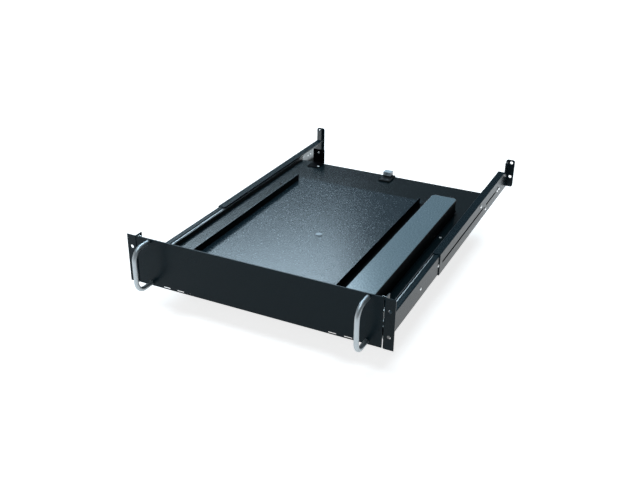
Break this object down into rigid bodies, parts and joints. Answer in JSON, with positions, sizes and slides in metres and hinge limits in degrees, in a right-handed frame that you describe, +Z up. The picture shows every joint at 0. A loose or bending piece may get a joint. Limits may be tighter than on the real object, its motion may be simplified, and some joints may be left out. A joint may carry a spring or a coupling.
{
  "type": "rack keyboard drawer",
  "caption": "Rack keyboard drawer on telescopic ball slides: keyboard pan and palm rest on a round bearing, fold-down front panel with bow handles, depth-adjustable side brackets.",
  "frame": {"origin": "middle of the front mounting holes, on the front face of the ears", "axes": "+X to the right seen from the front, +Y from the front panel to the back, +Z up"},
  "size_m": [0.4826, 0.769, 0.0882],
  "materials": {
    "bracket_black": "matt black powder coat",
    "bright_screw": "bright zinc plate",
    "plated_steel": "dull zinc plate",
    "zinc_sheet": "zinc plated sheet",
    "slide_zinc": "zinc plated, rolled",
    "cage_steel": "yellow zinc plate",
    "inner_black": "matt black powder coat",
    "tray_black": "black powder coat with a fine grain",
    "bearing_nylon": "moulded nylon",
    "pan_grey": "dark powder coat with a fine grain",
    "palm_rest_grey": "moulded, fine grain",
    "foot_black": "moulded",
    "dark_screw": "black oxide",
    "clip_pale": "pale moulded nylon",
    "cable_bracket_black": "matt black powder coat",
    "panel_black": "smooth satin black powder coat",
    "handle_satin": "satin anodised"
  },
  "bodies": {
    "rails": {"front_bracket_left": "bracket_black", "front_bracket_right": "bracket_black", "rear_bracket_left": "bracket_black", "rear_bracket_right": "bracket_black", "clamp_screws": "bright_screw", "slide_rear_screws": "bright_screw", "spacer_washers": "plated_steel", "slide_rivets": "bright_screw", "catch_clip_left": "zinc_sheet", "catch_clip_right": "zinc_sheet", "outer_slide_left": "slide_zinc", "outer_slide_right": "slide_zinc"},
    "middle_members": {"middle_slide_left": "slide_zinc", "middle_slide_right": "slide_zinc"},
    "outer_cages": {"outer_ball_cages": "cage_steel"},
    "inner_cages": {"inner_ball_cages": "cage_steel"},
    "drawer": {"inner_slide_left": "slide_zinc", "inner_slide_right": "slide_zinc", "side_wall_left": "inner_black", "side_wall_right": "inner_black", "base_tray": "tray_black", "edge_strips": "tray_black", "tray_screws": "bright_screw", "tray_rivet": "bright_screw", "bearing_ring": "bearing_nylon", "turn_plate": "inner_black", "keyboard_pan": "pan_grey", "pivot_bolt": "plated_steel", "pivot_washer": "plated_steel", "pivot_nut": "plated_steel", "palm_rest": "palm_rest_grey", "palm_rest_screws": "plated_steel", "clip_foot": "foot_black", "cable_clip": "clip_pale", "clip_screws": "dark_screw", "cable_bracket": "cable_bracket_black", "cable_bracket_screws": "bright_screw", "tray_hinge_leaves": "zinc_sheet", "hinge_rivets": "bright_screw", "hinge_pins": "plated_steel"},
    "panel": {"panel_hinge_leaves": "zinc_sheet", "front_panel": "panel_black", "catch_tongues": "zinc_sheet", "handle_left": "handle_satin", "handle_right": "handle_satin", "handle_screws": "bright_screw"}
  },
  "joints": [
    {"name": "drawer_slide", "type": "slide", "parent": "rails", "child": "drawer", "axis": [0, -1, 0], "range_m": [0, 0.45]},
    {"name": "middle_slide", "type": "slide", "parent": "rails", "child": "middle_members", "axis": [0, -1, 0], "range_m": [0, 0.225]},
    {"name": "outer_cage_slide", "type": "slide", "parent": "rails", "child": "outer_cages", "axis": [0, -1, 0], "range_m": [0, 0.1125]},
    {"name": "inner_cage_slide", "type": "slide", "parent": "rails", "child": "inner_cages", "axis": [0, -1, 0], "range_m": [0, 0.3375]},
    {"name": "panel_fold", "type": "hinge", "parent": "drawer", "child": "panel", "pos_m": [0, 0.007, -0.03955], "axis": [1, 0, 0], "range_deg": [0, 90]}
  ],
  "couplings": [
    {"joint": "middle_slide", "follows": "drawer_slide", "ratio": 0.5},
    {"joint": "outer_cage_slide", "follows": "drawer_slide", "ratio": 0.25},
    {"joint": "inner_cage_slide", "follows": "drawer_slide", "ratio": 0.75}
  ]
}
